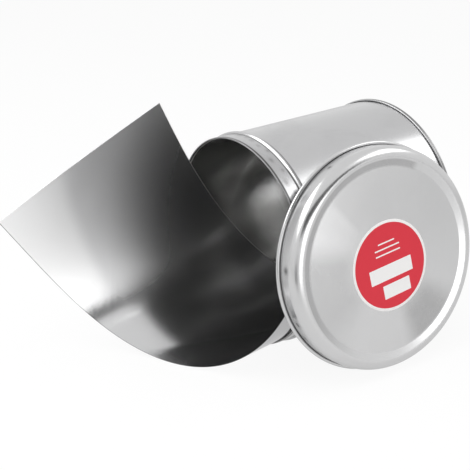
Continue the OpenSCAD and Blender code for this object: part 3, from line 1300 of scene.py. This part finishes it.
    def drawn_out(self) -> Surface:
        """The band that is drawn out of the can.

        Returns:
            Points, quads and UV pairs.
        """
        along, across = np.meshgrid(
            np.linspace(0, self.tail, self.rows), np.linspace(0, self.width, self.columns), indexing="ij")
        points, quads = self.shell(self.band(along, across, 0.0), self.band(along, across, self.thick))
        return points, quads, self.face_uv(along, across)

    def coil(self) -> Surface:
        """The coil: a spiral whose radius grows evenly with its angle, with slightly uneven edges.

        Returns:
            Points, quads and UV pairs.
        """
        steps = np.linspace(0, 1, int(self.turns * self.turn_rows))
        turn, across = np.meshgrid(steps, np.linspace(0, 1, self.coil_columns), indexing="ij")
        angle = math.radians(self.coil_start) + 2 * np.pi * self.turns * turn
        quick, slow = self.wave_rates
        edge = self.edge_wave * np.sin(quick * angle) * np.sin(slow * angle + 1.0)
        radius = self.bore + (self.coil_r - self.bore - self.thick) * turn
        deep = self.lead_in + self.edge_inset + (self.width - 2 * self.edge_inset) * across
        deep = deep + edge * (1 - 2 * across)
        both = (radius, radius + self.thick)
        faces = [np.stack([r * np.cos(angle), deep, r * np.sin(angle)], -1) for r in both]
        points, quads = self.shell(*faces)
        return points, quads[:, ::-1], self.face_uv(self.tail + angle * self.bore, self.width * across)

    def build(self, material: bpy.types.Material) -> None:
        """Makes and dresses the strip: the band and the coil in one piece.

        Args:
            material: the foil's finish.
        """
        (points, quads, uv), (coil, coil_quads, coil_uv) = self.drawn_out(), self.coil()
        faces = [quads, coil_quads + len(points)]
        placed = self.datum.row(np.vstack([points, coil]))
        piece = mesh_piece("foil_strip", placed, faces, np.vstack([uv, coil_uv]))
        mark_sharp(piece, self.sharp)
        finish_piece(piece, material, Slot.FOIL, "shim_strip")


# Studio


def view_axes(azimuth: float, elevation: float) -> tuple[Vector, Vector]:
    """Axes of a direction in the studio.

    Args:
        azimuth: degrees from the can's mouth (0) toward the lid's side (90).
        elevation: degrees above the floor.

    Returns:
        The way out toward that direction, and the level way to the right as one looks back from it.
    """
    az, el = math.radians(azimuth), math.radians(elevation)
    way = Vector((math.sin(az) * math.cos(el), -math.cos(az) * math.cos(el), math.sin(el)))
    return way, Vector((math.cos(az), math.sin(az), 0.0))


@dataclass(frozen=True)
class Panel:
    """A flat square-cornered panel of the studio that faces the object.

    The azimuth is counted from the can's mouth (0) toward the lid's side (90), in degrees, and
    lengths are in metres.
    """

    name: str
    azimuth: float
    elevation: float
    distance: float
    width: float
    height: float
    level: float
    about: Point = (0.03, 0.03, 0.09)

    def matrix(self) -> Matrix:
        """Place of the panel, its -Z toward the point it is set about and its X level.

        Returns:
            The matrix.
        """
        way, side = view_axes(self.azimuth, self.elevation)
        turn = Matrix((side, way.cross(side), way)).transposed().to_4x4()
        return Matrix.Translation(Vector(self.about) + way * self.distance) @ turn


@dataclass(frozen=True)
class SoftBox(Panel):
    """A soft box; its level is the brightness of its face, where 1 is white."""

    mirrored: bool = True

    def build(self) -> None:
        """Adds the lamp, whose power is level * pi * area."""
        data = bpy.data.lights.new(self.name, "AREA")
        data.shape = "RECTANGLE"
        data.size, data.size_y = self.width, self.height
        data.energy = self.level * math.pi * self.width * self.height
        lamp = bpy.data.objects.new(self.name, data)
        lamp.matrix_world = self.matrix()
        lamp.visible_camera = False
        lamp.visible_glossy = self.mirrored
        bpy.context.scene.collection.objects.link(lamp)


@dataclass(frozen=True)
class Flag(Panel):
    """A dark card that only the metal mirrors; its level is the grey it shows."""

    def build(self) -> None:
        """Adds the card."""
        half_w, half_h = self.width / 2, self.height / 2
        corners = [(-half_w, -half_h, 0), (half_w, -half_h, 0), (half_w, half_h, 0), (-half_w, half_h, 0)]
        mesh = bpy.data.meshes.new(self.name)
        mesh.from_pydata([self.matrix() @ Vector(c) for c in corners], [], [(0, 1, 2, 3)])
        material = bpy.data.materials.new(self.name)
        g = fresh_graph(material)
        glow = g.add("Emission", {"Color": (1, 1, 1, 1), "Strength": self.level})
        g.add("OutputMaterial", {0: glow.outputs[0]})
        mesh.materials.append(material)
        card = bpy.data.objects.new(self.name, mesh)
        card.visible_camera = card.visible_diffuse = card.visible_shadow = False
        bpy.context.scene.collection.objects.link(card)


SOFT_BOXES = (
    SoftBox("right_box", 96, 10, 1.2, 0.80, 0.60, 1.65),
    SoftBox("back_box", 148, 43, 1.3, 0.84, 0.46, 2.1),
    SoftBox("key_box", 330, 47, 1.3, 1.36, 0.60, 3.2),
    SoftBox("top_fill", 30, 80, 1.3, 1.00, 1.00, 2.4, mirrored=False),
)
FLAGS = (
    Flag("near_flag", 67, 42, 0.18, 0.28, 0.07, 0.10, about=(0.08, 0.08, 0.10)),
    Flag("low_flag", 43, 1, 1.0, 0.50, 0.26, 0.35),
)


@dataclass
class Studio:
    """White floor, soft light and the camera, whose place is in millimetres from the can's mouth."""

    datum: Datum
    # Camera
    azimuth: float = 54.94
    elevation: float = 24.377
    roll: float = -1.431
    across: float = 2.785
    up: float = -5.975
    distance: float = 778.6
    focal_px: float = 967.64
    sensor: float = 36.0
    clip: Pair = (0.02, 50.0)
    # Surroundings and floor
    lit_level: float = 0.4
    floor_half: float = 4.0
    floor_tone: float = 0.9
    floor_seen: float = 0.92
    floor_mirrored: float = 0.6

    def camera(self) -> None:
        """Places the camera: back along the view, then sideways and up in the picture's plane."""
        roll = math.radians(self.roll)
        back, right = view_axes(self.azimuth, self.elevation)
        top = back.cross(right)
        right, top = (right * math.cos(roll) + top * math.sin(roll),
                      top * math.cos(roll) - right * math.sin(roll))
        place = back * self.distance - right * self.across - top * self.up
        data = bpy.data.cameras.new("camera")
        data.sensor_width = self.sensor
        data.lens = self.focal_px / IMAGE_PX * self.sensor
        data.clip_start, data.clip_end = self.clip
        camera = bpy.data.objects.new("camera", data)
        turn = Matrix((right, top, back)).transposed().to_4x4()
        camera.matrix_world = Matrix.Translation(Vector(self.datum.row(np.array(place)))) @ turn
        bpy.context.scene.collection.objects.link(camera)
        bpy.context.scene.camera = camera

    def world(self) -> None:
        """White surroundings for what is seen and mirrored, softer for what is lit."""
        world = bpy.data.worlds.new("studio")
        bpy.context.scene.world = world
        g = fresh_graph(world)
        path = g.add("LightPath")
        seen = g.math("MAXIMUM", path.outputs["Is Camera Ray"], path.outputs["Is Glossy Ray"])
        seen = g.math("MAXIMUM", seen, path.outputs["Is Transmission Ray"])
        strength = g.math("MULTIPLY_ADD", seen, 1.0 - self.lit_level, self.lit_level)
        shade = g.add("Background", {"Color": (1, 1, 1, 1), "Strength": strength})
        g.add("OutputWorld", {0: shade.outputs[0]})

    def floor(self) -> None:
        """A plain white floor that keeps soft shadows."""
        half, tone = self.floor_half, self.floor_tone
        mesh = bpy.data.meshes.new("floor")
        corners = [(-half, -half, 0), (half, -half, 0), (half, half, 0), (-half, half, 0)]
        mesh.from_pydata(corners, [], [(0, 1, 2, 3)])
        floor = bpy.data.objects.new("floor", mesh)
        bpy.context.scene.collection.objects.link(floor)
        material = bpy.data.materials.new("floor_white")
        g = fresh_graph(material)
        path = g.add("LightPath")
        mirrored = g.math("MAXIMUM", path.outputs["Is Glossy Ray"], path.outputs["Is Transmission Ray"])
        lit = g.add("BsdfDiffuse", {"Color": (tone, tone, tone, 1)})
        glow = g.add("Emission", {"Color": (1, 1, 1, 1), "Strength": 1.0})
        seen = g.math("MULTIPLY", path.outputs["Is Camera Ray"], self.floor_seen)
        share = g.math("MULTIPLY_ADD", mirrored, self.floor_mirrored, seen)
        both = g.add("MixShader", {0: share, 1: lit.outputs[0], 2: glow.outputs[0]})
        g.add("OutputMaterial", {0: both.outputs[0]})
        mesh.materials.append(material)

    def build(self) -> None:
        """Sets up the whole studio."""
        self.camera()
        self.world()
        self.floor()
        for panel in SOFT_BOXES + FLAGS:
            panel.build()
        bpy.context.scene.view_settings.view_transform = "Standard"
        LOG.info("studio: %d soft boxes and %d flags", len(SOFT_BOXES), len(FLAGS))


def main() -> None:
    """Builds every piece, dresses it and sets up the studio."""
    logging.basicConfig(level=logging.INFO, format="%(message)s")
    datum = Datum.from_frame()
    effects = Effects.build()
    Can(datum).build(CAN_FINISH.material(effects))
    lid = Lid()
    lid.build(LID_FINISH.material(effects))
    lid.build_label(LabelPrint().material(effects))
    FoilStrip(datum).build(FoilFinish().material(effects))
    Studio(datum).build()


if __name__ == "__main__":
    main()
